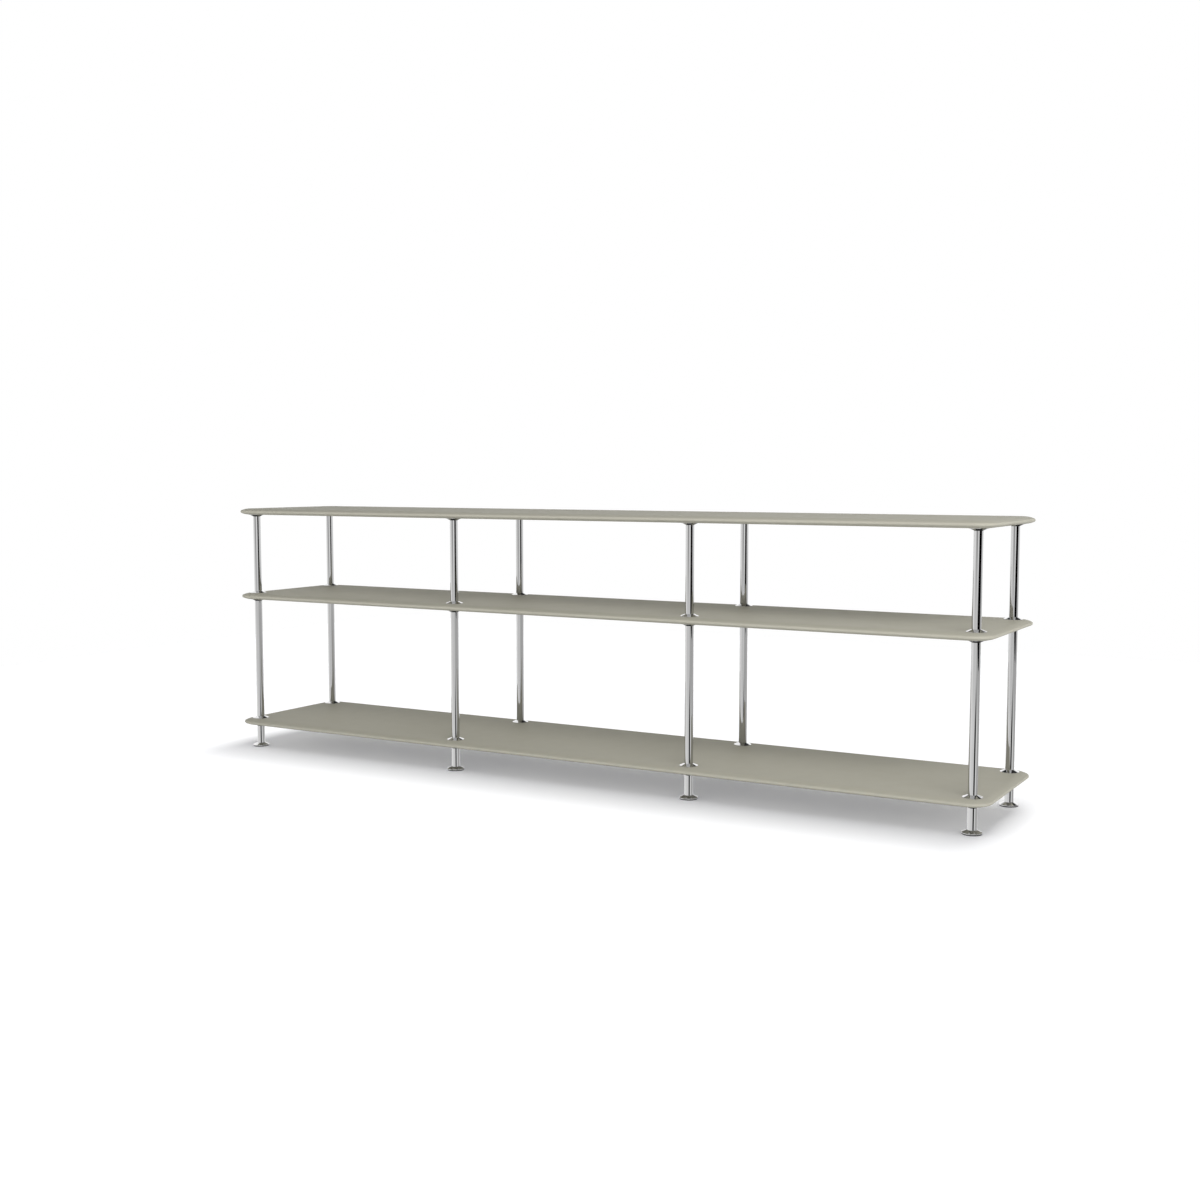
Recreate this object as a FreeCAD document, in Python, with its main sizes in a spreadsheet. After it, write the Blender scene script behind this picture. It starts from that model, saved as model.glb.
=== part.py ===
import FreeCAD, Part
import enum
import math
import os

import Sketcher

# A long, low shelving unit: three lacquered boards with softly tapered edges, carried by eight chromed
# columns. A threaded rod down the middle of each column pulls the top board, the tubes, the collars and the
# other boards together against the leg, and a levelling foot screws up into the leg from below.
# The frame: X along the length, Y from front to back, Z up, and the origin on the floor at the middle.

# Driving dimensions in millimetres: name, value, meaning
SIZES = [
    ("bay_count", "3", "bays along the length, one fewer than the columns in a row"),
    ("bay_pitch", "660", "column axis to column axis along the length"),
    ("row_spacing", "300", "front column axis to rear column axis"),
    ("end_overhang", "42.5", "outer column axis to the end of a shelf"),
    ("side_overhang", "46.5", "column axis to the front or back edge of a shelf"),
    ("leg_opening", "61.5", "floor to the underside of the bottom shelf"),
    ("lower_opening", "330", "clear height between the bottom and middle shelves"),
    ("upper_opening", "214", "clear height between the middle and top shelves"),
    ("board_thickness", "16.5", "thickness of a shelf"),
    ("nosing_width", "24", "how far in from the edge the taper of a shelf begins"),
    ("nosing_tip_radius", "4", "radius at the very edge of a shelf"),
    ("flat_corner_radius", "24", "plan radius at the corners of a shelf's flat part"),
    ("tube_diameter", "20", "outside of a post or leg"),
    ("tube_wall", "1.5", "wall of a post"),
    ("thread_diameter", "10", "tie rod and foot stud"),
    ("thread_clearance", "0.08", "gap round a rod or stud in its thread"),
    ("rod_clearance", "0.3", "gap round a rod where it passes through a shelf or collar"),
    ("rod_leg_engagement", "15", "length of rod inside the leg"),
    ("rod_end_gap", "1", "gap above a rod in its insert's hole"),
    ("insert_diameter", "14", "outside of a threaded insert"),
    ("insert_clearance", "0.05", "gap round an insert in its hole"),
    ("insert_cover", "4.5", "board left above an insert"),
    ("collar_diameter", "43", "outside of a collar"),
    ("collar_rim", "0.8", "height of a collar's upright edge"),
    ("collar_cone_height", "4.7", "height of a collar's cone"),
    ("collar_floor", "1.5", "web of a collar between the tube's end and the shelf"),
    ("socket_clearance", "0.1", "gap round a tube in a collar"),
    ("foot_diameter", "43", "outside of a foot"),
    ("foot_rim", "1.2", "height of a foot's upright edge"),
    ("foot_cone_height", "5.2", "height of a foot's cone"),
    ("foot_shoulder", "0.6", "how far a foot's top stands out past the leg"),
    ("stud_rod_gap", "6", "gap between a foot's stud and the end of the tie rod"),
    ("glide_thickness", "2.6", "floor to the underside of a foot"),
    ("glide_inset", "0.4", "how far a glide sits in from the edge of its foot"),
    ("glide_pin_diameter", "8", "pin of a glide, on which the foot turns"),
    ("glide_pin_length", "3", "height of that pin above the glide"),
    ("pin_clearance", "0.06", "gap round that pin"),
    ("pin_end_gap", "0.4", "gap above that pin"),
]

doc = FreeCAD.newDocument("ShelvingUnit")
sheet = doc.addObject("Spreadsheet::Sheet", "Sizes")
for row, (alias, value, meaning) in enumerate(SIZES, start=1):
    sheet.set(f"A{row}", meaning)
    sheet.set(f"B{row}", value)
    sheet.setAlias(f"B{row}", alias)
doc.recompute()

# Plan of a shelf
HALF_LENGTH = "(Sizes.bay_count * Sizes.bay_pitch / 2 + Sizes.end_overhang)"
HALF_DEPTH = "(Sizes.row_spacing / 2 + Sizes.side_overhang)"

# Heights above the floor, from the ground up
FOOT_UNDERSIDE = "Sizes.glide_thickness"
FOOT_TOP = f"({FOOT_UNDERSIDE} + Sizes.foot_rim + Sizes.foot_cone_height)"
BOTTOM_UNDERSIDE = "Sizes.leg_opening"
LEG_TOP = f"({BOTTOM_UNDERSIDE} - Sizes.collar_floor)"
ROD_FOOT = f"({LEG_TOP} - Sizes.rod_leg_engagement)"
BOTTOM_TOP = f"({BOTTOM_UNDERSIDE} + Sizes.board_thickness)"
MIDDLE_UNDERSIDE = f"({BOTTOM_TOP} + Sizes.lower_opening)"
MIDDLE_TOP = f"({MIDDLE_UNDERSIDE} + Sizes.board_thickness)"
TOP_UNDERSIDE = f"({MIDDLE_TOP} + Sizes.upper_opening)"
INSERT_LENGTH = "(Sizes.board_thickness - Sizes.insert_cover)"
ROD_TOP = f"({TOP_UNDERSIDE} + {INSERT_LENGTH} - Sizes.rod_end_gap)"

# Radii of what turns, slides or seats
TUBE_RADIUS = "(Sizes.tube_diameter / 2)"
ROD_RADIUS = "(Sizes.thread_diameter / 2)"
THREAD_RADIUS = f"({ROD_RADIUS} + Sizes.thread_clearance)"
ROD_HOLE_RADIUS = f"({ROD_RADIUS} + Sizes.rod_clearance)"
INSERT_RADIUS = "(Sizes.insert_diameter / 2)"
SOCKET_RADIUS = f"({TUBE_RADIUS} + Sizes.socket_clearance)"

sub_parts = []


def size_of(expression):
    """The present value of an expression in millimetres."""
    value = sheet.evalExpression(expression)
    return float(getattr(value, "Value", value))


def origin_feature(body, role):
    return next(feature for feature in body.Origin.OriginFeatures if feature.Role == role)


def new_body(label):
    body = doc.addObject("PartDesign::Body", label)
    body.Label = label
    sub_parts.append(body)
    return body


def place(body, x="0", y="0", z="0"):
    body.setExpression("Placement.Base.x", x)
    body.setExpression("Placement.Base.y", y)
    body.setExpression("Placement.Base.z", z)


def new_sketch(body, name, plane):
    sketch = body.newObject("Sketcher::SketchObject", name)
    sketch.AttachmentSupport = (origin_feature(body, plane), [""])
    sketch.MapMode = "FlatFace"
    return sketch


def constrain(sketch, kind, *references, size=None):
    """Add a constraint, with its value bound to an expression where it has one."""
    if size is None:
        sketch.addConstraint(Sketcher.Constraint(kind, *references))
        return
    number = sketch.addConstraint(Sketcher.Constraint(kind, *references, size_of(size)))
    sketch.setExpression(f"Constraints[{number}]", size)


class CurvePoint(enum.IntEnum):
    """The numbers by which the sketcher knows the ends and the centre of a curve."""
    START = 1
    END = 2
    CENTRE = 3


class SketchAxis(enum.IntEnum):
    """The numbers by which the sketcher knows a sketch's own axes."""
    HORIZONTAL = -1
    UPRIGHT = -2


START, END, CENTRE = CurvePoint
X_AXIS, Y_AXIS = SketchAxis
ORIGIN = (X_AXIS, START)


def column_pattern(body, feature):
    """Repeat a feature made at the front left column at every other column of the two rows."""
    pattern = body.newObject("PartDesign::LinearPattern", "Columns")
    pattern.Originals = [feature]
    pattern.Direction = (origin_feature(body, "X_Axis"), [""])
    pattern.setExpression("Length", "Sizes.bay_count * Sizes.bay_pitch")
    pattern.setExpression("Occurrences", "Sizes.bay_count + 1")
    pattern.Direction2 = (origin_feature(body, "Y_Axis"), [""])
    pattern.setExpression("Length2", "Sizes.row_spacing")
    pattern.Occurrences2 = 2
    body.Tip = pattern


def turned(body, corners):
    """A turned piece: a closed outline of (radius, height) corners, revolved about the body's own Z axis."""
    sketch = new_sketch(body, "Profile", "XZ_Plane")
    points = [FreeCAD.Vector(size_of(radius), size_of(height), 0) for radius, height in corners]
    count = len(corners)
    for index in range(count):
        sketch.addGeometry(Part.LineSegment(points[index], points[(index + 1) % count]), False)
    for index, (radius, height) in enumerate(corners):
        constrain(sketch, "Coincident", index, END, (index + 1) % count, START)
        if radius == "0":
            constrain(sketch, "PointOnObject", index, START, Y_AXIS)
        else:
            constrain(sketch, "DistanceX", *ORIGIN, index, START, size=radius)
        if height == "0":
            constrain(sketch, "PointOnObject", index, START, X_AXIS)
        else:
            constrain(sketch, "DistanceY", *ORIGIN, index, START, size=height)
    revolution = body.newObject("PartDesign::Revolution", "Turned")
    revolution.Profile = sketch
    revolution.ReferenceAxis = (sketch, ["V_Axis"])
    revolution.Angle = 360
    return revolution


def turned_at_every_column(label, corners, height, hangs=False):
    """One node of equal turned pieces, one at each column; those that hang are turned upside down."""
    body = new_body(label)
    feature = turned(body, corners)
    column_pattern(body, feature)
    if hangs:
        body.Placement.Rotation = FreeCAD.Rotation(FreeCAD.Vector(1, 0, 0), 180)
    first_row = "Sizes.row_spacing / 2" if hangs else "-Sizes.row_spacing / 2"
    place(body, "-Sizes.bay_count * Sizes.bay_pitch / 2", first_row, height)


def columns():
    """The name and the X and Y expressions of every column, front row first, from the left."""
    for row_name, y in (("front", "-Sizes.row_spacing / 2"), ("rear", "Sizes.row_spacing / 2")):
        for index in range(round(size_of("Sizes.bay_count")) + 1):
            yield f"{row_name}_{index + 1}", f"({index} - Sizes.bay_count / 2) * Sizes.bay_pitch", y


def flat_outline(body):
    """Plan of a shelf's flat part: a rounded rectangle that starts at the middle of the front side."""
    sketch = new_sketch(body, "FlatOutline", "XY_Plane")
    half_x = size_of(f"{HALF_LENGTH} - Sizes.nosing_width")
    half_y = size_of(f"{HALF_DEPTH} - Sizes.nosing_width")
    radius = size_of("Sizes.flat_corner_radius")
    straight_x, straight_y = half_x - radius, half_y - radius

    def line(x0, y0, x1, y1):
        return Part.LineSegment(FreeCAD.Vector(x0, y0, 0), FreeCAD.Vector(x1, y1, 0))

    def corner(x, y, first_quarter):
        circle = Part.Circle(FreeCAD.Vector(x, y, 0), FreeCAD.Vector(0, 0, 1), radius)
        start = first_quarter * math.pi / 2
        return Part.ArcOfCircle(circle, start, start + math.pi / 2)

    sketch.addGeometry(line(0, -half_y, straight_x, -half_y), False)
    sketch.addGeometry(corner(straight_x, -straight_y, 3), False)
    sketch.addGeometry(line(half_x, -straight_y, half_x, straight_y), False)
    sketch.addGeometry(corner(straight_x, straight_y, 0), False)
    sketch.addGeometry(line(straight_x, half_y, -straight_x, half_y), False)
    sketch.addGeometry(corner(-straight_x, straight_y, 1), False)
    sketch.addGeometry(line(-half_x, straight_y, -half_x, -straight_y), False)
    sketch.addGeometry(corner(-straight_x, -straight_y, 2), False)
    sketch.addGeometry(line(-straight_x, -half_y, 0, -half_y), False)
    front, right, back, left, front_again = 0, 2, 4, 6, 8
    arcs = (1, 3, 5, 7)
    for index in range(8):
        constrain(sketch, "Tangent", index, END, index + 1, START)
    constrain(sketch, "Coincident", front_again, END, front, START)
    constrain(sketch, "PointOnObject", front, START, Y_AXIS)
    for index in (front, back, front_again):
        constrain(sketch, "Horizontal", index)
    for index in (right, left):
        constrain(sketch, "Vertical", index)
    for index in arcs[1:]:
        constrain(sketch, "Equal", arcs[0], index)
    constrain(sketch, "Radius", arcs[0], size="Sizes.flat_corner_radius")
    constrain(sketch, "DistanceX", *ORIGIN, right, START, size=f"{HALF_LENGTH} - Sizes.nosing_width")
    constrain(sketch, "DistanceX", left, START, *ORIGIN, size=f"{HALF_LENGTH} - Sizes.nosing_width")
    constrain(sketch, "DistanceY", front, START, *ORIGIN, size=f"{HALF_DEPTH} - Sizes.nosing_width")
    constrain(sketch, "DistanceY", *ORIGIN, back, START, size=f"{HALF_DEPTH} - Sizes.nosing_width")
    return sketch


def nosing_profile(body):
    """Section of a shelf's edge at the middle of the front: a small round tip between two wide flat arcs."""
    sketch = new_sketch(body, "NosingProfile", "YZ_Plane")
    inner = -size_of(f"{HALF_DEPTH} - Sizes.nosing_width")
    half = size_of("Sizes.board_thickness / 2")
    tip = size_of("Sizes.nosing_tip_radius")
    reach = size_of("Sizes.nosing_width") - tip
    wide = (reach ** 2 + half ** 2 - tip ** 2) / (2 * (half - tip))
    turn = math.atan2(wide - half, reach)
    up = FreeCAD.Vector(0, 0, 1)

    def arc(x, y, radius, start, end):
        return Part.ArcOfCircle(Part.Circle(FreeCAD.Vector(x, y, 0), up, radius), start, end)

    sketch.addGeometry(Part.LineSegment(FreeCAD.Vector(inner, 0, 0), FreeCAD.Vector(inner, 2 * half, 0)), False)
    sketch.addGeometry(arc(inner, 2 * half - wide, wide, math.pi / 2, math.pi - turn), False)
    sketch.addGeometry(arc(inner - reach, half, tip, math.pi - turn, math.pi + turn), False)
    sketch.addGeometry(arc(inner, wide, wide, math.pi + turn, 3 * math.pi / 2), False)
    wall, upper, nose, lower = 0, 1, 2, 3
    constrain(sketch, "Coincident", wall, END, upper, START)
    constrain(sketch, "Tangent", upper, END, nose, START)
    constrain(sketch, "Tangent", nose, END, lower, START)
    constrain(sketch, "Coincident", lower, END, wall, START)
    constrain(sketch, "Vertical", wall)
    constrain(sketch, "PointOnObject", wall, START, X_AXIS)
    constrain(sketch, "DistanceX", wall, START, *ORIGIN, size=f"{HALF_DEPTH} - Sizes.nosing_width")
    constrain(sketch, "DistanceY", wall, START, wall, END, size="Sizes.board_thickness")
    constrain(sketch, "Vertical", upper, START, upper, CENTRE)
    constrain(sketch, "Vertical", lower, END, lower, CENTRE)
    constrain(sketch, "Radius", nose, size="Sizes.nosing_tip_radius")
    constrain(sketch, "DistanceX", nose, CENTRE, *ORIGIN, size=f"{HALF_DEPTH} - Sizes.nosing_tip_radius")
    constrain(sketch, "DistanceY", *ORIGIN, nose, CENTRE, size="Sizes.board_thickness / 2")
    return sketch


def shelf(label, height, hole_radius, hole_depth):
    """A board from its underside up: the flat part, the nosing swept round it, and a hole at each column."""
    body = new_body(label)
    outline = flat_outline(body)
    flat = body.newObject("PartDesign::Pad", "FlatPart")
    flat.Profile = outline
    flat.setExpression("Length", "Sizes.board_thickness")
    profile = nosing_profile(body)
    doc.recompute()
    nosing = body.newObject("PartDesign::AdditivePipe", "Nosing")
    nosing.Profile = profile
    nosing.Spine = outline
    doc.recompute()
    circle = new_sketch(body, "HoleCircle", "XY_Plane")
    first_x = "Sizes.bay_count * Sizes.bay_pitch / 2"
    first_y = "Sizes.row_spacing / 2"
    centre = FreeCAD.Vector(-size_of(first_x), -size_of(first_y), 0)
    circle.addGeometry(Part.Circle(centre, FreeCAD.Vector(0, 0, 1), size_of(hole_radius)), False)
    constrain(circle, "Radius", 0, size=hole_radius)
    constrain(circle, "DistanceX", 0, CENTRE, *ORIGIN, size=first_x)
    constrain(circle, "DistanceY", 0, CENTRE, *ORIGIN, size=first_y)
    hole = body.newObject("PartDesign::Pocket", "Hole")
    hole.Profile = circle
    hole.setExpression("Length", hole_depth)
    hole.Reversed = True
    column_pattern(body, hole)
    place(body, z=height)


def tube(label, length, x, y, height):
    body = new_body(label)
    section = new_sketch(body, "Section", "XY_Plane")
    for number, radius in enumerate((TUBE_RADIUS, f"{TUBE_RADIUS} - Sizes.tube_wall")):
        circle = Part.Circle(FreeCAD.Vector(0, 0, 0), FreeCAD.Vector(0, 0, 1), size_of(radius))
        section.addGeometry(circle, False)
        constrain(section, "Coincident", number, CENTRE, *ORIGIN)
        constrain(section, "Radius", number, size=radius)
    pad = body.newObject("PartDesign::Pad", "Tube")
    pad.Profile = section
    pad.setExpression("Length", length)
    place(body, x, y, height)


def post_length(opening):
    return f"{opening} - 2 * Sizes.collar_floor"


def collar_corners():
    """A collar from the shelf out: its web, the socket for the tube, the cone and the thin upright rim."""
    height = "Sizes.collar_rim + Sizes.collar_cone_height"
    return [
        (ROD_HOLE_RADIUS, "0"),
        ("Sizes.collar_diameter / 2", "0"),
        ("Sizes.collar_diameter / 2", "Sizes.collar_rim"),
        (SOCKET_RADIUS, height),
        (SOCKET_RADIUS, "Sizes.collar_floor"),
        (ROD_HOLE_RADIUS, "Sizes.collar_floor"),
    ]


def leg(label, x, y):
    """A turned bar, threaded right through for the tie rod above and the foot's stud below."""
    body = new_body(label)
    length = f"{LEG_TOP} - {FOOT_TOP}"
    turned(body, [(THREAD_RADIUS, "0"), (TUBE_RADIUS, "0"), (TUBE_RADIUS, length), (THREAD_RADIUS, length)])
    place(body, x, y, FOOT_TOP)


def foot(label, x, y):
    """A conical disc and its threaded stud in one piece, hollowed below for the glide's pin."""
    body = new_body(label)
    pin_hole_radius = "Sizes.glide_pin_diameter / 2 + Sizes.pin_clearance"
    pin_hole_depth = "Sizes.glide_pin_length + Sizes.pin_end_gap"
    shoulder = "Sizes.foot_rim + Sizes.foot_cone_height"
    stud_top = f"{ROD_FOOT} - Sizes.stud_rod_gap - {FOOT_UNDERSIDE}"
    turned(body, [
        ("0", pin_hole_depth),
        (pin_hole_radius, pin_hole_depth),
        (pin_hole_radius, "0"),
        ("Sizes.foot_diameter / 2", "0"),
        ("Sizes.foot_diameter / 2", "Sizes.foot_rim"),
        (f"{TUBE_RADIUS} + Sizes.foot_shoulder", shoulder),
        (ROD_RADIUS, shoulder),
        (ROD_RADIUS, stud_top),
        ("0", stud_top),
    ])
    place(body, x, y, FOOT_UNDERSIDE)


def foot_glide(label, x, y):
    """A plastic disc under a foot, with a pin on which the foot turns."""
    body = new_body(label)
    radius = "Sizes.foot_diameter / 2 - Sizes.glide_inset"
    pin_radius = "Sizes.glide_pin_diameter / 2"
    pin_top = "Sizes.glide_thickness + Sizes.glide_pin_length"
    turned(body, [
        ("0", "0"),
        (radius, "0"),
        (radius, "Sizes.glide_thickness"),
        (pin_radius, "Sizes.glide_thickness"),
        (pin_radius, pin_top),
        ("0", pin_top),
    ])
    place(body, x, y)


# Shelves
through = "Sizes.board_thickness"
shelf("bottom_shelf", BOTTOM_UNDERSIDE, ROD_HOLE_RADIUS, through)
shelf("middle_shelf", MIDDLE_UNDERSIDE, ROD_HOLE_RADIUS, through)
shelf("top_shelf", TOP_UNDERSIDE, f"{INSERT_RADIUS} + Sizes.insert_clearance", INSERT_LENGTH)

# Columns
for column, column_x, column_y in columns():
    foot_glide(f"foot_glide_{column}", column_x, column_y)
    foot(f"foot_{column}", column_x, column_y)
    leg(f"leg_{column}", column_x, column_y)
    lower_length = post_length("Sizes.lower_opening")
    tube(f"lower_post_{column}", lower_length, column_x, column_y, f"{BOTTOM_TOP} + Sizes.collar_floor")
    upper_length = post_length("Sizes.upper_opening")
    tube(f"upper_post_{column}", upper_length, column_x, column_y, f"{MIDDLE_TOP} + Sizes.collar_floor")

# Collars
turned_at_every_column("collars_under_bottom_shelf", collar_corners(), BOTTOM_UNDERSIDE, hangs=True)
turned_at_every_column("collars_on_bottom_shelf", collar_corners(), BOTTOM_TOP)
turned_at_every_column("collars_under_middle_shelf", collar_corners(), MIDDLE_UNDERSIDE, hangs=True)
turned_at_every_column("collars_on_middle_shelf", collar_corners(), MIDDLE_TOP)
turned_at_every_column("collars_under_top_shelf", collar_corners(), TOP_UNDERSIDE, hangs=True)

# Tie rods and the inserts that hold them in the top shelf
rod_length = f"{ROD_TOP} - {ROD_FOOT}"
rod_corners = [("0", "0"), (ROD_RADIUS, "0"), (ROD_RADIUS, rod_length), ("0", rod_length)]
turned_at_every_column("tie_rods", rod_corners, ROD_FOOT)
insert_corners = [
    (THREAD_RADIUS, "0"),
    (INSERT_RADIUS, "0"),
    (INSERT_RADIUS, INSERT_LENGTH),
    (THREAD_RADIUS, INSERT_LENGTH),
]
turned_at_every_column("top_shelf_inserts", insert_corners, TOP_UNDERSIDE)

doc.recompute()

for item in doc.Objects:
    if "Invalid" in item.State or "Error" in item.State:
        raise RuntimeError(f"{item.Label} did not build: {item.State}")
for body in sub_parts:
    if body.Shape.isNull() or not body.Shape.isValid():
        raise RuntimeError(f"{body.Label} has no valid shape")

os.makedirs("parts", exist_ok=True)
for body in sub_parts:
    body.Shape.exportStep(f"parts/{body.Label}.step")
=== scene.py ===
import math
import bpy
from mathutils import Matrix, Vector


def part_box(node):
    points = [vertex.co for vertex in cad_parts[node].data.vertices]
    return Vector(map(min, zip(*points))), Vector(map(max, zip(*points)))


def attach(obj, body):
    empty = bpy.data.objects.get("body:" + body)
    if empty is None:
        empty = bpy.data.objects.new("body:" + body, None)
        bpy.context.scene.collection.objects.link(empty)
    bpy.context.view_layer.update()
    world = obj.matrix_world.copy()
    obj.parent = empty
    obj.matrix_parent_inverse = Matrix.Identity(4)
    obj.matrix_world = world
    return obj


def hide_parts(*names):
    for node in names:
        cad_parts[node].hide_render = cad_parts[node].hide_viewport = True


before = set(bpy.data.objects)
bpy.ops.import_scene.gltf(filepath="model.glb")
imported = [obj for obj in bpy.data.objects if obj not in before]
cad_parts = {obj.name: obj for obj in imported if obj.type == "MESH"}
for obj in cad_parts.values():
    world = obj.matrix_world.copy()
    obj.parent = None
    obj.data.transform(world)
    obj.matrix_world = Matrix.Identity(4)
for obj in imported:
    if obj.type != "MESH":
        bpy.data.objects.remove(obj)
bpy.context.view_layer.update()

# Sizes of the unit that its boxes in the frame don't give, in metres.
MM = 0.001
NOSING_WIDTH = 24 * MM
NOSING_TIP_RADIUS = 4 * MM
PLAN_CORNER_RADIUS = 48 * MM
TUBE_WALL = 1.5 * MM
LEG_BORE_RADIUS = 5.08 * MM
ROD_HOLE_RADIUS = 5.3 * MM
INSERT_POCKET_RADIUS = 7.05 * MM
SOCKET_CLEARANCE = 0.1 * MM
COLLAR_RIM = 0.8 * MM
COLLAR_FLOOR = 1.5 * MM
FOOT_RIM = 1.2 * MM
FOOT_RIM_DRAFT = math.radians(5)
FOOT_SHOULDER = 0.6 * MM
STUD_RADIUS = 5 * MM
STUD_ROOT_RADIUS = 4.1 * MM
THREAD_PITCH = 1.5 * MM
PIN_RADIUS = 4 * MM
PIN_CLEARANCE = 0.06 * MM
PIN_END_GAP = 0.4 * MM

# How finely the pieces are modelled.
TURNED_SIDES = 96
THREAD_SIDES = 48
BORE_SIDES = 48
CORNER_STEPS = 20
TIP_STEPS = 7
TAPER_STEPS = 6
EDGE_ROUNDING = 0.15 * MM
EDGE_STEPS = 2
SHARP_ANGLE = math.radians(25)
MERGE_DISTANCE = 0.001 * MM
DRILL_OVERRUN = 1 * MM
SPARE_TURNS = 2

# The eight columns stand where the frame's legs do.
COLUMNS = sorted(name.removeprefix("leg_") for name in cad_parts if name.startswith("leg_"))


def centre_of(node):
    low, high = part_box(node)
    return (low + high) / 2


COLUMN_PLACES = {column: centre_of("leg_" + column) for column in COLUMNS}


def radius_of(kind):
    """The radius of a turned piece that every column has, from its box in the first one."""
    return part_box(kind + "_front_1")[1].x - COLUMN_PLACES["front_1"].x


TUBE_RADIUS = radius_of("leg")


# Modelling helpers

def select_only(*pieces):
    bpy.ops.object.select_all(action="DESELECT")
    for piece in pieces:
        piece.select_set(True)
    bpy.context.view_layer.objects.active = pieces[0]


def start_editing(name):
    """Names the primitive that was just added and opens it in edit mode, to select by points."""
    piece = bpy.context.object
    piece.name = name
    piece.data.name = name
    bpy.ops.object.mode_set(mode="EDIT")
    bpy.ops.mesh.select_mode(type="VERT")
    return piece


def close_surface():
    """Merges seams and turns every face outwards, in edit mode."""
    bpy.ops.mesh.select_all(action="SELECT")
    bpy.ops.mesh.remove_doubles(threshold=MERGE_DISTANCE)
    bpy.ops.mesh.normals_make_consistent(inside=False)


def round_edges():
    """Breaks every sharp edge, as plating and polishing leave it."""
    bpy.ops.mesh.select_mode(type="EDGE")
    bpy.ops.mesh.select_all(action="DESELECT")
    bpy.ops.mesh.edges_select_sharp(sharpness=SHARP_ANGLE)
    bpy.ops.mesh.bevel(offset=EDGE_ROUNDING, segments=EDGE_STEPS, affect="EDGES")


def apply_modifier(piece, kind, **settings):
    select_only(piece)
    bpy.ops.object.modifier_add(type=kind)
    modifier = piece.modifiers[-1]
    for setting, value in settings.items():
        setattr(modifier, setting, value)
    bpy.ops.object.modifier_apply(modifier=modifier.name)


def finish_surface(piece):
    """Leaves edit mode with smooth rounds, true flats and the place held in the mesh."""
    bpy.ops.object.mode_set(mode="OBJECT")
    select_only(piece)
    bpy.ops.object.transform_apply(location=True, rotation=True, scale=True)
    bpy.ops.object.shade_smooth_by_angle(angle=SHARP_ANGLE)
    apply_modifier(piece, "WEIGHTED_NORMAL", keep_sharp=True)


def turned_piece(name, outline, filling):
    """Turns an outline of (radius, height) points: its first ring, extruded through all the others."""
    radius, height = outline[0]
    bpy.ops.object.select_all(action="DESELECT")
    bpy.ops.mesh.primitive_circle_add(
        vertices=TURNED_SIDES, radius=radius, fill_type=filling, location=(0, 0, height))
    piece = start_editing(name)
    for (radius, height), (next_radius, next_height) in zip(outline, outline[1:]):
        bpy.ops.mesh.extrude_region_move(TRANSFORM_OT_translate={"value": (0, 0, next_height - height)})
        growth = next_radius / radius
        bpy.ops.transform.resize(value=(growth, growth, 1), center_override=(0, 0, next_height))
    close_surface()
    round_edges()
    finish_surface(piece)
    return piece


def turned_ring(name, outline):
    """A turned piece with a hole right through: the outline goes round and closes on itself."""
    return turned_piece(name, outline + outline[:1], "NOTHING")


def turned_solid(name, outline):
    """A turned piece with no hole through it: the outline starts and ends in a flat disc."""
    return turned_piece(name, outline, "NGON")


def copy_of(pattern, name, place, upside_down=False):
    """A copy with its own mesh, moved to its place and turned over where it hangs."""
    select_only(pattern)
    bpy.ops.object.duplicate(linked=False)
    piece = bpy.context.object
    piece.name = name
    piece.data.name = name
    piece.rotation_euler.x = math.pi if upside_down else 0
    piece.location = place
    bpy.ops.object.transform_apply(location=True, rotation=True, scale=True)
    return piece


def discard(pattern):
    select_only(pattern)
    bpy.ops.object.delete()


def fit(piece, node, body, finish):
    """Dresses a finished piece, puts it in its node's place and lets it ride on the node's body."""
    piece.data.materials.clear()
    piece.data.materials.append(finish)
    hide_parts(node)
    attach(piece, body)


def stand_at_columns(pattern, kind, form, finish, has_own_body=False):
    """Copies a pattern to every column, to ride on the frame or on the body that has the node's name."""
    for column in COLUMNS:
        node = f"{kind}_{column}"
        place = COLUMN_PLACES[column]
        piece = copy_of(pattern, f"{node}_{form}", (place.x, place.y, 0))
        fit(piece, node, node if has_own_body else "frame", finish)
    discard(pattern)


# Shelves

def nosing_steps(half_thickness):
    """The nosing as steps inward and upward from its edge: a small tip arc, then a wide one to the flat."""
    reach = NOSING_WIDTH - NOSING_TIP_RADIUS
    rise = half_thickness - NOSING_TIP_RADIUS
    wide_radius = (reach**2 + half_thickness**2 - NOSING_TIP_RADIUS**2) / (2 * rise)
    meeting_angle = math.atan2(wide_radius - half_thickness, reach)
    points = []
    for step in range(TIP_STEPS + 1):
        angle = meeting_angle * step / TIP_STEPS
        points.append((NOSING_TIP_RADIUS * (1 - math.cos(angle)), NOSING_TIP_RADIUS * math.sin(angle)))
    for step in range(1, TAPER_STEPS + 1):
        angle = meeting_angle + (math.pi / 2 - meeting_angle) * step / TAPER_STEPS
        inward = NOSING_WIDTH - wide_radius * math.cos(angle)
        points.append((inward, half_thickness - wide_radius * (1 - math.sin(angle))))
    return [(after[0] - before[0], after[1] - before[1]) for before, after in zip(points, points[1:])]


def bore_at_columns(board, radius, low, high):
    """Bores the board at every column, between two heights."""
    drills = []
    for column in COLUMNS:
        place = COLUMN_PLACES[column]
        middle = (place.x, place.y, (low + high) / 2)
        bpy.ops.object.select_all(action="DESELECT")
        bpy.ops.mesh.primitive_cylinder_add(
            vertices=BORE_SIDES, radius=radius, depth=high - low, location=middle)
        drills.append(bpy.context.object)
    select_only(*drills)
    bpy.ops.object.join()
    drill = bpy.context.object
    apply_modifier(board, "BOOLEAN", operation="DIFFERENCE", solver="EXACT", object=drill)
    discard(drill)


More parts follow.
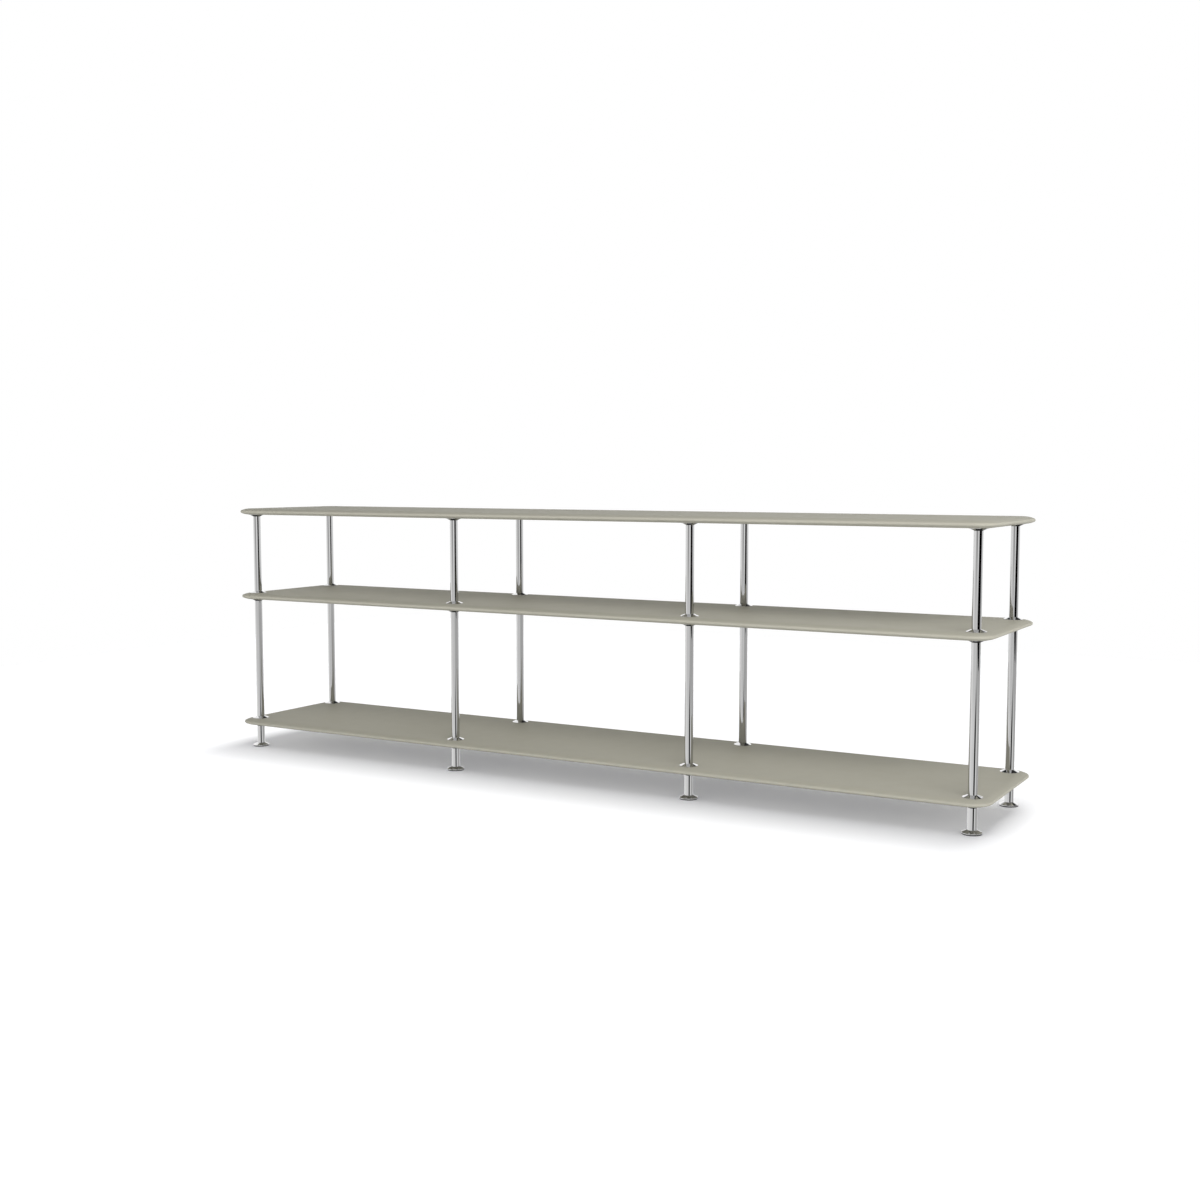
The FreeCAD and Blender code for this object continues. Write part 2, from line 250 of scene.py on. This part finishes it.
def lacquered_board(name, node):
    """A shelf: its plan with round corners, inset along the nosing and mirrored to its underside."""
    low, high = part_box(node)
    middle = (low + high) / 2
    bpy.ops.object.select_all(action="DESELECT")
    bpy.ops.mesh.primitive_plane_add(size=1, location=middle)
    board = start_editing(name)
    bpy.ops.transform.resize(value=(high.x - low.x, high.y - low.y, 1), center_override=middle)
    bpy.ops.mesh.bevel(offset=PLAN_CORNER_RADIUS, segments=CORNER_STEPS, affect="VERTICES")
    for inward, upward in nosing_steps((high.z - low.z) / 2):
        bpy.ops.mesh.inset(thickness=inward, depth=upward, use_even_offset=True)
    bpy.ops.object.mode_set(mode="OBJECT")
    apply_modifier(board, "MIRROR", use_axis=(False, False, True), merge_threshold=MERGE_DISTANCE)
    select_only(board)
    bpy.ops.object.transform_apply(location=True, rotation=True, scale=True)
    return board


def finish_board(board):
    """Closes and smooths a board that has been mirrored and bored."""
    select_only(board)
    bpy.ops.object.mode_set(mode="EDIT")
    close_surface()
    finish_surface(board)


def make_shelves(finish):
    """The top shelf is pocketed from below for its inserts, and the rods go right through the others."""
    for node in ("bottom_shelf", "middle_shelf", "top_shelf"):
        low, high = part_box(node)
        board = lacquered_board(node + "_board", node)
        if node == "top_shelf":
            insert_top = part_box("top_shelf_inserts")[1].z
            bore_at_columns(board, INSERT_POCKET_RADIUS, low.z - DRILL_OVERRUN, insert_top)
        else:
            bore_at_columns(board, ROD_HOLE_RADIUS, low.z - DRILL_OVERRUN, high.z + DRILL_OVERRUN)
        finish_board(board)
        fit(board, node, "frame", finish)


# Posts and legs

def make_tubes(kind, bore_radius, finish):
    """One upright of this kind is turned and copied to every column."""
    low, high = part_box(kind + "_front_1")
    outline = [
        (bore_radius, low.z), (TUBE_RADIUS, low.z), (TUBE_RADIUS, high.z), (bore_radius, high.z)]
    pattern = turned_ring(kind + "_pattern", outline)
    stand_at_columns(pattern, kind, "tube", finish)


# Collars

def make_collars(finish):
    """A flat cone with a thin rim and a socket for the tube's end, copied to both faces of the shelves."""
    low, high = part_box("collars_on_bottom_shelf")
    height = high.z - low.z
    radius = high.x - max(place.x for place in COLUMN_PLACES.values())
    socket_radius = TUBE_RADIUS + SOCKET_CLEARANCE
    outline = [
        (ROD_HOLE_RADIUS, 0), (radius, 0), (radius, COLLAR_RIM),
        (socket_radius, height), (socket_radius, COLLAR_FLOOR), (ROD_HOLE_RADIUS, COLLAR_FLOOR)]
    pattern = turned_ring("collar_pattern", outline)
    for node in [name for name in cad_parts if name.startswith("collars_")]:
        hangs = node.startswith("collars_under")
        low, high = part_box(node)
        seat = high.z if hangs else low.z
        collars = []
        for column in COLUMNS:
            place = COLUMN_PLACES[column]
            collars.append(copy_of(pattern, f"{node}_{column}", (place.x, place.y, seat), hangs))
        select_only(*collars)
        bpy.ops.object.join()
        group = bpy.context.object
        group.name = node + "_turned"
        group.data.name = group.name
        fit(group, node, "frame", finish)
    discard(pattern)


# Feet

def threaded_stud(name, low, high):
    """A stud with a real thread: one groove's outline, screwed up past both ends and cut flat there."""
    bpy.ops.object.select_all(action="DESELECT")
    bpy.ops.mesh.primitive_plane_add(size=1, location=(0, 0, 0))
    stud = start_editing(name)
    bpy.ops.mesh.merge(type="CENTER")
    bpy.ops.transform.translate(value=(STUD_ROOT_RADIUS, 0, low - SPARE_TURNS * THREAD_PITCH))
    depth = STUD_RADIUS - STUD_ROOT_RADIUS
    for outward in (depth, -depth):
        bpy.ops.mesh.extrude_region_move(TRANSFORM_OT_translate={"value": (outward, 0, THREAD_PITCH / 2)})
    bpy.ops.object.mode_set(mode="OBJECT")
    turns = math.ceil((high - low) / THREAD_PITCH) + 2 * SPARE_TURNS
    apply_modifier(
        stud, "SCREW", axis="Z", screw_offset=THREAD_PITCH, iterations=turns, steps=THREAD_SIDES,
        render_steps=THREAD_SIDES, use_merge_vertices=True, merge_threshold=MERGE_DISTANCE)
    select_only(stud)
    bpy.ops.object.mode_set(mode="EDIT")
    close_surface()
    for height, upward in ((low, -1), (high, 1)):
        bpy.ops.mesh.select_all(action="SELECT")
        bpy.ops.mesh.bisect(
            plane_co=(0, 0, height), plane_no=(0, 0, upward), use_fill=True, clear_outer=True,
            threshold=MERGE_DISTANCE)
    close_surface()
    bpy.ops.object.mode_set(mode="OBJECT")
    return stud


def make_feet(finish):
    """A flat cone on a thin rim, bored below for the glide's pin, with its threaded stud above."""
    low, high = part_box("foot_front_1")
    leg_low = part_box("leg_front_1")[0].z
    pin_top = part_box("foot_glide_front_1")[1].z
    radius = radius_of("foot")
    rim_top_radius = radius - FOOT_RIM * math.tan(FOOT_RIM_DRAFT)
    bore_radius = PIN_RADIUS + PIN_CLEARANCE
    outline = [
        (bore_radius, pin_top + PIN_END_GAP), (bore_radius, low.z),
        (radius, low.z), (rim_top_radius, low.z + FOOT_RIM),
        (TUBE_RADIUS + FOOT_SHOULDER, leg_low), (STUD_ROOT_RADIUS, leg_low)]
    pattern = turned_solid("foot_pattern", outline)
    stud = threaded_stud("stud_pattern", leg_low - EDGE_ROUNDING, high.z)
    apply_modifier(pattern, "BOOLEAN", operation="UNION", solver="EXACT", object=stud)
    discard(stud)
    select_only(pattern)
    bpy.ops.mesh.customdata_custom_splitnormals_clear()
    bpy.ops.object.mode_set(mode="EDIT")
    close_surface()
    finish_surface(pattern)
    stand_at_columns(pattern, "foot", "turned", finish, has_own_body=True)


def make_glides(finish):
    """A plastic disc with a pin that plugs into the foot."""
    low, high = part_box("foot_glide_front_1")
    disc_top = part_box("foot_front_1")[0].z
    radius = radius_of("foot_glide")
    outline = [(radius, low.z), (radius, disc_top), (PIN_RADIUS, disc_top), (PIN_RADIUS, high.z)]
    pattern = turned_solid("glide_pattern", outline)
    stand_at_columns(pattern, "foot_glide", "disc", finish, has_own_body=True)


# Node helpers

# Most of a noise's values lie between these two.
NOISE_SPAN = (0.3, 0.7)


def add(tree, kind, inputs=None, **settings):
    """Adds a node. An input is a plain value or the output that feeds it."""
    node = tree.nodes.new(kind)
    for setting, value in settings.items():
        setattr(node, setting, value)
    for socket, value in (inputs or {}).items():
        if isinstance(value, bpy.types.NodeSocket):
            tree.links.new(value, node.inputs[socket])
        else:
            node.inputs[socket].default_value = value
    return node


def add_ramp(tree, factor, stops):
    """A ramp through (place, colour) stops."""
    node = add(tree, "ShaderNodeValToRGB", {"Fac": factor})
    elements = node.color_ramp.elements
    while len(elements) < len(stops):
        elements.new(0.5)
    for element, (place, colour) in zip(elements, stops):
        element.position = place
        element.color = (*colour, 1)
    return node.outputs["Color"]


def add_noise(tree, vector, scale, detail=2.0):
    inputs = {"Vector": vector, "Scale": scale, "Detail": detail}
    return add(tree, "ShaderNodeTexNoise", inputs).outputs["Fac"]


def add_bands(tree, vector, scale, distortion):
    """Waves that follow one another along the height."""
    inputs = {"Vector": vector, "Scale": scale, "Distortion": distortion}
    return add(tree, "ShaderNodeTexWave", inputs, wave_type="BANDS", bands_direction="Z").outputs["Fac"]


def add_tint(tree, noise, tints):
    """Clouds a surface between two close tints."""
    return add_ramp(tree, noise, list(zip(NOISE_SPAN, tints)))


def add_range(tree, noise, low, high):
    """Spreads a noise between two levels."""
    from_low, from_high = NOISE_SPAN
    inputs = {"Value": noise, "From Min": from_low, "From Max": from_high, "To Min": low, "To Max": high}
    return add(tree, "ShaderNodeMapRange", inputs).outputs["Result"]


def add_bump(tree, height, strength, distance):
    inputs = {"Height": height, "Strength": strength, "Distance": distance}
    return add(tree, "ShaderNodeBump", inputs).outputs["Normal"]


def grey(level):
    return (level, level, level)


# Finishes

LACQUER_TINTS = ((0.364, 0.353, 0.296), (0.376, 0.364, 0.307))
LACQUER_SHEEN = 0.03
TUBE_CHROME_LEVEL = 0.55
FITTING_CHROME_LEVEL = 0.68
CHROME_CLOUDING = 0.01
NYLON_TINTS = (grey(0.018), grey(0.026))
ZINC_TINTS = ((0.48, 0.49, 0.50), (0.58, 0.58, 0.57))
BRASS_TINTS = ((0.60, 0.44, 0.17), (0.70, 0.53, 0.23))

# The length of one wave of the bands, times their scale.
WAVE_LENGTH = 0.314


def new_finish(name):
    """A new material: its tree, its shader and the piece's own coordinates."""
    material = bpy.data.materials.new(name)
    material.use_nodes = True
    tree = material.node_tree
    shader = tree.nodes["Principled BSDF"]
    place = add(tree, "ShaderNodeTexCoord").outputs["Object"]
    return material, tree, shader, place


def satin_lacquer():
    """Warm grey sprayed lacquer: faint clouding, an even satin gloss and a fine orange peel."""
    material, tree, shader, place = new_finish("satin_lacquer")
    tint = add_tint(tree, add_noise(tree, place, scale=3.0, detail=3.0), LACQUER_TINTS)
    gloss = add_range(tree, add_noise(tree, place, scale=25.0), low=0.54, high=0.62)
    peel = add_bump(tree, add_noise(tree, place, scale=450.0), strength=0.08, distance=0.2 * MM)
    tree.links.new(tint, shader.inputs["Base Color"])
    tree.links.new(gloss, shader.inputs["Roughness"])
    tree.links.new(peel, shader.inputs["Normal"])
    shader.inputs["Specular IOR Level"].default_value = LACQUER_SHEEN
    return material


def bright_chrome(name, level):
    """Polished chrome plate: a neutral mirror with a faint haze of handling."""
    material, tree, shader, place = new_finish(name)
    tints = (grey(level - CHROME_CLOUDING), grey(level + CHROME_CLOUDING))
    tint = add_tint(tree, add_noise(tree, place, scale=12.0), tints)
    haze = add_range(tree, add_noise(tree, place, scale=80.0, detail=3.0), low=0.02, high=0.05)
    tree.links.new(tint, shader.inputs["Base Color"])
    tree.links.new(haze, shader.inputs["Roughness"])
    shader.inputs["Metallic"].default_value = 1.0
    return material


def dark_nylon():
    """Moulded nylon: nearly black, matt, with the mould's fine grain."""
    material, tree, shader, place = new_finish("dark_nylon")
    grain = add_noise(tree, place, scale=1500.0)
    tint = add_tint(tree, add_noise(tree, place, scale=60.0), NYLON_TINTS)
    tree.links.new(tint, shader.inputs["Base Color"])
    tree.links.new(add_range(tree, grain, low=0.45, high=0.6), shader.inputs["Roughness"])
    tree.links.new(add_bump(tree, grain, strength=0.25, distance=0.05 * MM), shader.inputs["Normal"])
    return material


def zinc_rod():
    """Zinc-plated rod with its thread as bands along its length."""
    material, tree, shader, place = new_finish("zinc_rod")
    thread = add_bands(tree, place, scale=WAVE_LENGTH / THREAD_PITCH, distortion=0.0)
    tint = add_tint(tree, add_noise(tree, place, scale=150.0, detail=3.0), ZINC_TINTS)
    dullness = add_range(tree, add_noise(tree, place, scale=400.0), low=0.25, high=0.4)
    tree.links.new(tint, shader.inputs["Base Color"])
    tree.links.new(dullness, shader.inputs["Roughness"])
    tree.links.new(add_bump(tree, thread, strength=0.8, distance=0.5 * MM), shader.inputs["Normal"])
    shader.inputs["Metallic"].default_value = 1.0
    return material


def turned_brass():
    """Turned brass with fine tool rings."""
    material, tree, shader, place = new_finish("turned_brass")
    cuts = add_bands(tree, place, scale=800.0, distortion=0.5)
    tint = add_tint(tree, add_noise(tree, place, scale=200.0, detail=3.0), BRASS_TINTS)
    dullness = add_range(tree, add_noise(tree, place, scale=500.0), low=0.2, high=0.35)
    tree.links.new(tint, shader.inputs["Base Color"])
    tree.links.new(dullness, shader.inputs["Roughness"])
    tree.links.new(add_bump(tree, cuts, strength=0.2, distance=0.05 * MM), shader.inputs["Normal"])
    shader.inputs["Metallic"].default_value = 1.0
    return material


def dress_node(node, finish):
    """A CAD node whose shape is right keeps its mesh and gets a finish."""
    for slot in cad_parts[node].material_slots:
        slot.material = finish


# Studio floor and lights

FLOOR_SIZE = 6.0
FLOOR_LEVEL = 0.848
FLOOR_LIFT = 0.162
FLOOR_LIFT_TINT = (0.87, 0.89, 1.0)
FLOOR_LIGHT_PLACE = (0.95, 1.65, 28)
FLOOR_LIGHT_SIZE = (3.8, 10.6)
FLOOR_LIGHT_POWER = 5320.0
KEY_PLACE = Vector((2.7, -2.1, 2.85))
KEY_AIM = Vector((1.0, 0, 0.4))
KEY_SIZE = (3.0, 1.5)
KEY_POWER = 99.0
SCREEN_PLACE = (3.6, -1.55, 1.2)
SCREEN_WIDTH = 3.9
SCREEN_HEIGHT = 2.4


def matt_stage_finish(name, level):
    """An even matt grey, for what belongs to the studio alone."""
    material = bpy.data.materials.new(name)
    material.use_nodes = True
    shader = material.node_tree.nodes["Principled BSDF"]
    shader.inputs["Base Color"].default_value = (*grey(level), 1)
    shader.inputs["Roughness"].default_value = 1.0
    shader.inputs["Specular IOR Level"].default_value = 0.0
    return material


def make_floor():
    """A pale floor that keeps the unit's shadow. Its faint cool glow evens out the shelves' warm light."""
    bpy.ops.object.select_all(action="DESELECT")
    bpy.ops.mesh.primitive_plane_add(size=FLOOR_SIZE, location=(0, 0, 0))
    floor = bpy.context.object
    floor.name = "studio_floor"
    material = matt_stage_finish("white_floor", FLOOR_LEVEL)
    shader = material.node_tree.nodes["Principled BSDF"]
    shader.inputs["Emission Color"].default_value = (*FLOOR_LIFT_TINT, 1)
    shader.inputs["Emission Strength"].default_value = FLOOR_LIFT
    floor.data.materials.append(material)
    floor.visible_glossy = False
    return floor


def make_dark_screen():
    """A black screen to the right of the unit, out of the picture, that only the chrome reflects."""
    bpy.ops.object.select_all(action="DESELECT")
    bpy.ops.mesh.primitive_plane_add(size=1, location=SCREEN_PLACE, rotation=(0, math.pi / 2, 0))
    screen = bpy.context.object
    screen.name = "dark_screen"
    screen.scale = (SCREEN_HEIGHT, SCREEN_WIDTH, 1)
    screen.data.materials.append(matt_stage_finish("black_cloth", 0.0))
    screen.visible_camera = False
    screen.visible_diffuse = False
    screen.visible_shadow = False


def add_area_light(name, place, size, power):
    bpy.ops.object.light_add(type="AREA", location=place)
    lamp = bpy.context.object
    lamp.name = name
    lamp.data.shape = "RECTANGLE"
    lamp.data.size, lamp.data.size_y = size
    lamp.data.energy = power
    return lamp


def make_key_light(floor):
    """One broad soft light, high at the front right. It leaves out the floor, which has its own light."""
    lamp = add_area_light("key_light", KEY_PLACE, KEY_SIZE, KEY_POWER)
    lamp.rotation_euler = (KEY_AIM - KEY_PLACE).to_track_quat("-Z", "Y").to_euler()
    lamp.visible_glossy = False
    left_out = bpy.data.collections.new("left_out_of_key_light")
    left_out.objects.link(floor)
    left_out.collection_objects[0].light_linking.link_state = "EXCLUDE"
    lamp.light_linking.receiver_collection = left_out


def make_floor_light(floor):
    """A wide light high above for the floor alone, which only the two upper shelves shade."""
    lamp = add_area_light("floor_light", FLOOR_LIGHT_PLACE, FLOOR_LIGHT_SIZE, FLOOR_LIGHT_POWER)
    lit = bpy.data.collections.new("lit_by_floor_light")
    lit.objects.link(floor)
    lamp.light_linking.receiver_collection = lit
    shading = bpy.data.collections.new("shading_the_floor")
    for node in ("middle_shelf", "top_shelf"):
        shading.objects.link(bpy.data.objects[node + "_board"])
    lamp.light_linking.blocker_collection = shading


# Studio room

ROOM_LEVEL = 1.2
PIT_LEVEL = 0.05
DOME_LEVEL = 1.44
BACK_WALL_LEVEL = 3.1

# The room that the chrome reflects, above a dark pit: brightness by bearing, in degrees right of the front.
GROUND = [
    (-180, 0.9), (-110, 1.0), (-50, 0.95), (-20, 0.85), (22, 0.82), (28, 0.01), (57, 0.01), (62, 0.85),
    (78, 0.85), (100, 0.56), (112, 0.45), (150, 0.5), (180, 0.9)]
SKIRTING = [
    (-180, 1.0), (-60, 1.0), (-30, 0.74), (20, 0.78), (55, 0.5), (120, 0.52), (150, 0.68), (180, 0.95)]
WALLS = [
    (-180, 1.0), (-48, 1.0), (-25, 0.48), (0, 0.32), (16, 0.95), (45, 0.9), (120, 0.8), (180, 1.0)]
CEILING = [
    (-180, 0.03), (-146, 0.03), (-140, 0.95), (-75, 0.95), (-45, 0.7), (75, 0.7), (105, 0.03), (180, 0.03)]

# Elevations in degrees between which the level below fades into the next one.
GROUND_FADE = (-30.0, -20.0)
SKIRTING_FADE = (-10.0, -7.5)
WALLS_FADE = (-6.0, -2.0)
CEILING_FADE = (26.0, 36.0)

# The dome that lights the lacquer: low walls by bearing, brightest behind, and a sky by its height, 0 to 1.
FRONT_WALL_SHARE = DOME_LEVEL / BACK_WALL_LEVEL
LOW_WALLS = [(-180, 1.0), (-120, FRONT_WALL_SHARE), (120, FRONT_WALL_SHARE), (180, 1.0)]
SKY = [(0, 1.0), (0.34, 1.0), (0.7, 0.1), (1, 0.04)]
SKY_FADE = (10.0, 20.0)


def add_math(tree, operation, first, second):
    return add(tree, "ShaderNodeMath", {0: first, 1: second}, operation=operation).outputs["Value"]


def add_background(tree, colour, strength):
    inputs = {"Color": colour, "Strength": strength}
    return add(tree, "ShaderNodeBackground", inputs).outputs["Background"]


def add_mix(tree, factor, first, second):
    return add(tree, "ShaderNodeMixShader", {0: factor, 1: first, 2: second}).outputs["Shader"]


def add_rise(tree, height, low_degrees, high_degrees):
    """From 0 to 1 as a direction climbs between two elevations."""
    inputs = {
        "Value": height, "From Min": math.sin(math.radians(low_degrees)),
        "From Max": math.sin(math.radians(high_degrees))}
    return add(tree, "ShaderNodeMapRange", inputs, interpolation_type="SMOOTHSTEP").outputs["Result"]


def add_level(tree, turn, stops, strength):
    """One level of a room: its brightness by bearing, along the share of a full turn."""
    ramp = add_ramp(tree, turn, [((bearing + 180) / 360, grey(level)) for bearing, level in stops])
    return add_background(tree, ramp, strength)


def make_world():
    """White to the camera, a dome with low bright walls to the lacquer, and a pale room to the chrome."""
    world = bpy.data.worlds.new("studio_world")
    bpy.context.scene.world = world
    world.use_nodes = True
    tree = world.node_tree
    tree.nodes.clear()
    path = add(tree, "ShaderNodeLightPath").outputs
    direction = add(tree, "ShaderNodeTexCoord").outputs["Generated"]
    part = add(tree, "ShaderNodeSeparateXYZ", {"Vector": direction}).outputs
    frontward = add_math(tree, "MULTIPLY", part["Y"], -1.0)
    bearing = add_math(tree, "ARCTAN2", part["X"], frontward)
    full_turn = {"Value": bearing, "From Min": -math.pi, "From Max": math.pi}
    turn = add(tree, "ShaderNodeMapRange", full_turn).outputs["Result"]

    room = add_background(tree, (*grey(PIT_LEVEL), 1), 1.0)
    levels = ((GROUND, GROUND_FADE), (SKIRTING, SKIRTING_FADE), (WALLS, WALLS_FADE), (CEILING, CEILING_FADE))
    for stops, fade in levels:
        level = add_level(tree, turn, stops, ROOM_LEVEL)
        room = add_mix(tree, add_rise(tree, part["Z"], *fade), room, level)

    low_walls = add_level(tree, turn, LOW_WALLS, BACK_WALL_LEVEL)
    sky_ramp = add_ramp(tree, part["Z"], [(height, grey(level)) for height, level in SKY])
    sky = add_background(tree, sky_ramp, DOME_LEVEL)
    dome = add_mix(tree, add_rise(tree, part["Z"], *SKY_FADE), low_walls, sky)

    lighting = add_mix(tree, path["Is Glossy Ray"], dome, room)
    white = add_background(tree, (*grey(1.0), 1), 1.0)
    shown = add_mix(tree, path["Is Camera Ray"], lighting, white)
    add(tree, "ShaderNodeOutputWorld", {"Surface": shown})


# Camera

CAMERA_PLACE = (1.8048, -3.1111, 0.7498)
CAMERA_TURN = math.radians(30.03)
CAMERA_TILT = math.radians(4.99)
CAMERA_FIELD = math.radians(45)


def make_camera():
    bpy.ops.object.camera_add(location=CAMERA_PLACE, rotation=(math.pi / 2 - CAMERA_TILT, 0, CAMERA_TURN))
    camera = bpy.context.object
    camera.name = "camera"
    camera.data.angle = CAMERA_FIELD
    bpy.context.scene.camera = camera


# The unit and its studio

lacquer = satin_lacquer()
tube_chrome = bright_chrome("tube_chrome", TUBE_CHROME_LEVEL)
fitting_chrome = bright_chrome("fitting_chrome", FITTING_CHROME_LEVEL)
make_shelves(lacquer)
make_tubes("upper_post", TUBE_RADIUS - TUBE_WALL, tube_chrome)
make_tubes("lower_post", TUBE_RADIUS - TUBE_WALL, tube_chrome)
make_tubes("leg", LEG_BORE_RADIUS, tube_chrome)
make_collars(fitting_chrome)
make_feet(fitting_chrome)
make_glides(dark_nylon())
dress_node("tie_rods", zinc_rod())
dress_node("top_shelf_inserts", turned_brass())
floor = make_floor()
make_dark_screen()
make_world()
make_key_light(floor)
make_floor_light(floor)
make_camera()
bpy.context.scene.view_settings.view_transform = "Standard"
